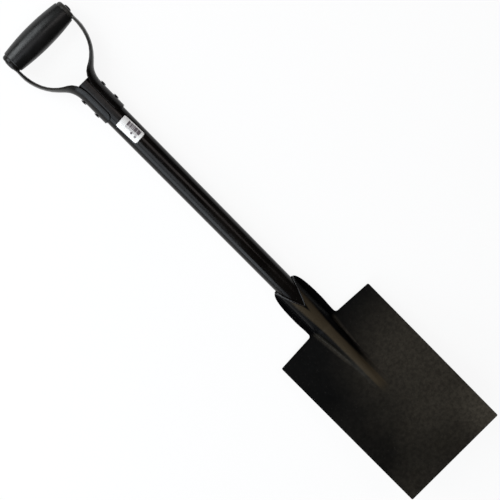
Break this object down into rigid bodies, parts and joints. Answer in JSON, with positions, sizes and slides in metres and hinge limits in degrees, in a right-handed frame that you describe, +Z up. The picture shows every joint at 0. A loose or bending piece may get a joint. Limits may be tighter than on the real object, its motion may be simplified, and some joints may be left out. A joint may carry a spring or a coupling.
{
  "type": "square shovel",
  "caption": "All steel square shovel: flat rectangular blade with a raised frog, tubular shaft and a riveted D handle whose barrel grip turns on its pin.",
  "frame": {"origin": "middle of the bounding box's bottom, with the shovel lying face up on the floor", "axes": "+Y along the shaft towards the D handle, +Z up out of the blade's front, +X to the right seen from the front with the handle up"},
  "size_m": [0.19, 0.9036, 0.0821],
  "materials": {
    "blade_paint": "black paint with a satin, faintly mottled surface",
    "shaft_paint": "glossy black paint",
    "yoke_paint": "semi-gloss black paint",
    "rivet_paint": "black paint over steel",
    "grip_plastic": "smooth black moulded plastic"
  },
  "bodies": {
    "shovel_frame": {"blade": "blade_paint", "shaft_tube": "shaft_paint", "yoke_strap_left": "yoke_paint", "yoke_strap_right": "yoke_paint", "yoke_rivet_lower": "rivet_paint", "yoke_rivet_upper": "rivet_paint", "grip_pin": "rivet_paint"},
    "grip": {"grip": "grip_plastic"}
  },
  "joints": [
    {"name": "grip_turn", "type": "hinge", "parent": "shovel_frame", "child": "grip", "pos_m": [0, 0.43303, 0.01896], "axis": [1, 0, 0], "continuous": true}
  ]
}
